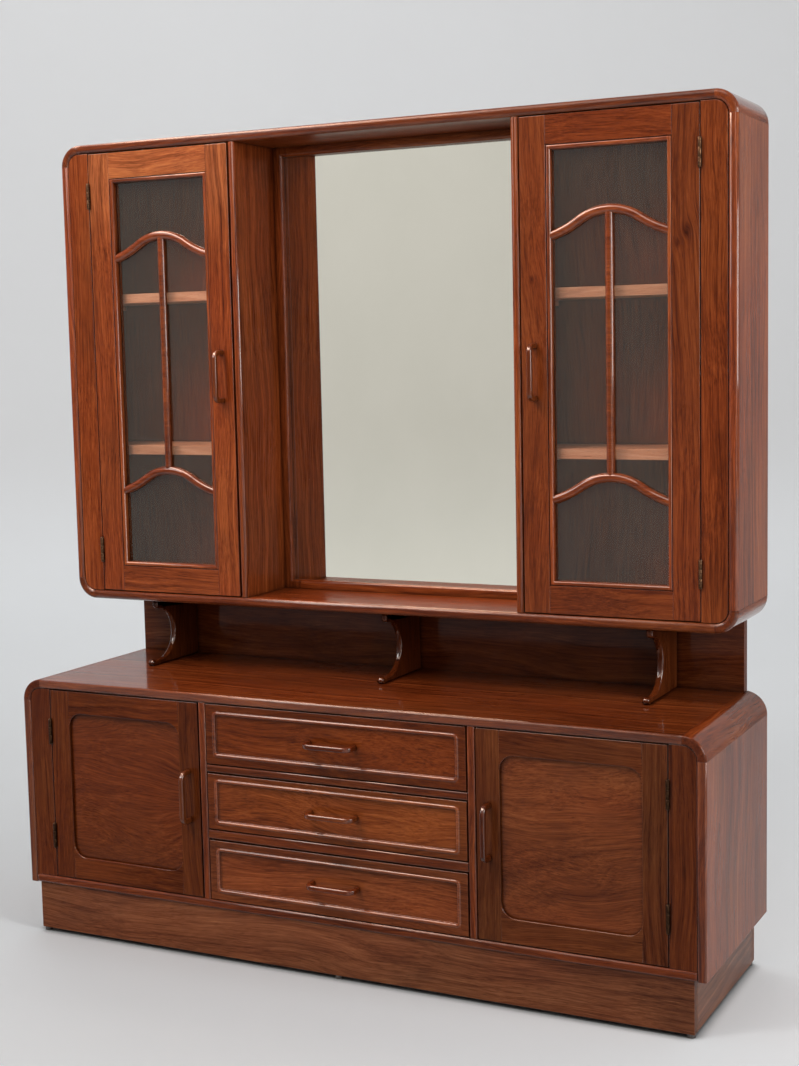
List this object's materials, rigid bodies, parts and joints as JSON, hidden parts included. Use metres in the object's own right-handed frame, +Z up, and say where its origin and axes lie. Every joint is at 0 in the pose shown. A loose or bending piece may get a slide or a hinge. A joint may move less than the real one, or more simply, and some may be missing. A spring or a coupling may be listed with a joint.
{
  "type": "dressing table",
  "caption": "Wooden dressing table: a low cabinet with drawers between two panelled doors, and a shallow cabinet above with an open mirror niche between two glazed doors.",
  "frame": {"origin": "on the floor, under the middle of the whole piece", "axes": "+X to the right as seen from the front, +Y from the front to the back, +Z up"},
  "size_m": [1.6, 0.478, 1.8],
  "materials": {
    "dark_wood": "gloss lacquer",
    "plain_wood": "satin lacquer",
    "smoky_glass": "smoky, clear surface",
    "mirror_glass": "polished",
    "brass": "satin",
    "foot_plastic": "matte"
  },
  "bodies": {
    "cabinet": {"glides": "foot_plastic", "plinth_long_boards": "dark_wood", "plinth_side_boards": "dark_wood", "base_bottom": "dark_wood", "base_sides": "dark_wood", "base_corners": "dark_wood", "base_top": "dark_wood", "base_back": "plain_wood", "base_partitions": "dark_wood", "drawer_rails": "dark_wood", "drawer_runners": "plain_wood", "upright_stiles": "dark_wood", "riser_board": "dark_wood", "brackets": "dark_wood", "upper_bottom": "dark_wood", "upper_sides": "dark_wood", "upper_corners": "dark_wood", "upper_top": "dark_wood", "upper_partitions": "dark_wood", "upper_back": "plain_wood", "shelves": "plain_wood", "shelf_battens": "plain_wood", "mirror_glass": "mirror_glass", "mirror_beads": "dark_wood", "door_stops": "plain_wood", "hinge_frame_leaves": "brass", "hinge_pins": "brass"},
    "base_door_left": {"base_door_left_stiles": "dark_wood", "base_door_left_rails": "dark_wood", "base_door_left_panel": "dark_wood", "base_door_left_pull": "dark_wood", "base_door_left_leaves": "brass"},
    "base_door_right": {"base_door_right_stiles": "dark_wood", "base_door_right_rails": "dark_wood", "base_door_right_panel": "dark_wood", "base_door_right_pull": "dark_wood", "base_door_right_leaves": "brass"},
    "upper_door_left": {"upper_door_left_stiles": "dark_wood", "upper_door_left_rails": "dark_wood", "upper_door_left_glass": "smoky_glass", "upper_door_left_beads": "dark_wood", "upper_door_left_bars": "dark_wood", "upper_door_left_pull": "dark_wood", "upper_door_left_leaves": "brass"},
    "upper_door_right": {"upper_door_right_stiles": "dark_wood", "upper_door_right_rails": "dark_wood", "upper_door_right_glass": "smoky_glass", "upper_door_right_beads": "dark_wood", "upper_door_right_bars": "dark_wood", "upper_door_right_pull": "dark_wood", "upper_door_right_leaves": "brass"},
    "drawer_high": {"drawer_high_front": "dark_wood", "drawer_high_box": "plain_wood", "drawer_high_pull": "dark_wood"},
    "drawer_mid": {"drawer_mid_front": "dark_wood", "drawer_mid_box": "plain_wood", "drawer_mid_pull": "dark_wood"},
    "drawer_low": {"drawer_low_front": "dark_wood", "drawer_low_box": "plain_wood", "drawer_low_pull": "dark_wood"}
  },
  "joints": [
    {"name": "base_door_left_hinge", "type": "hinge", "parent": "cabinet", "child": "base_door_left", "pos_m": [-0.725, -0.2074, 0.352], "axis": [0, 0, -1], "range_deg": [0, 105]},
    {"name": "base_door_right_hinge", "type": "hinge", "parent": "cabinet", "child": "base_door_right", "pos_m": [0.725, -0.2074, 0.352], "axis": [0, 0, 1], "range_deg": [0, 105]},
    {"name": "upper_door_left_hinge", "type": "hinge", "parent": "cabinet", "child": "upper_door_left", "pos_m": [-0.724, 0.0126, 1.2725], "axis": [0, 0, -1], "range_deg": [0, 105]},
    {"name": "upper_door_right_hinge", "type": "hinge", "parent": "cabinet", "child": "upper_door_right", "pos_m": [0.724, 0.0126, 1.2725], "axis": [0, 0, 1], "range_deg": [0, 105]},
    {"name": "drawer_high_slide", "type": "slide", "parent": "cabinet", "child": "drawer_high", "axis": [0, -1, 0], "range_m": [0, 0.3]},
    {"name": "drawer_mid_slide", "type": "slide", "parent": "cabinet", "child": "drawer_mid", "axis": [0, -1, 0], "range_m": [0, 0.3]},
    {"name": "drawer_low_slide", "type": "slide", "parent": "cabinet", "child": "drawer_low", "axis": [0, -1, 0], "range_m": [0, 0.3]}
  ]
}
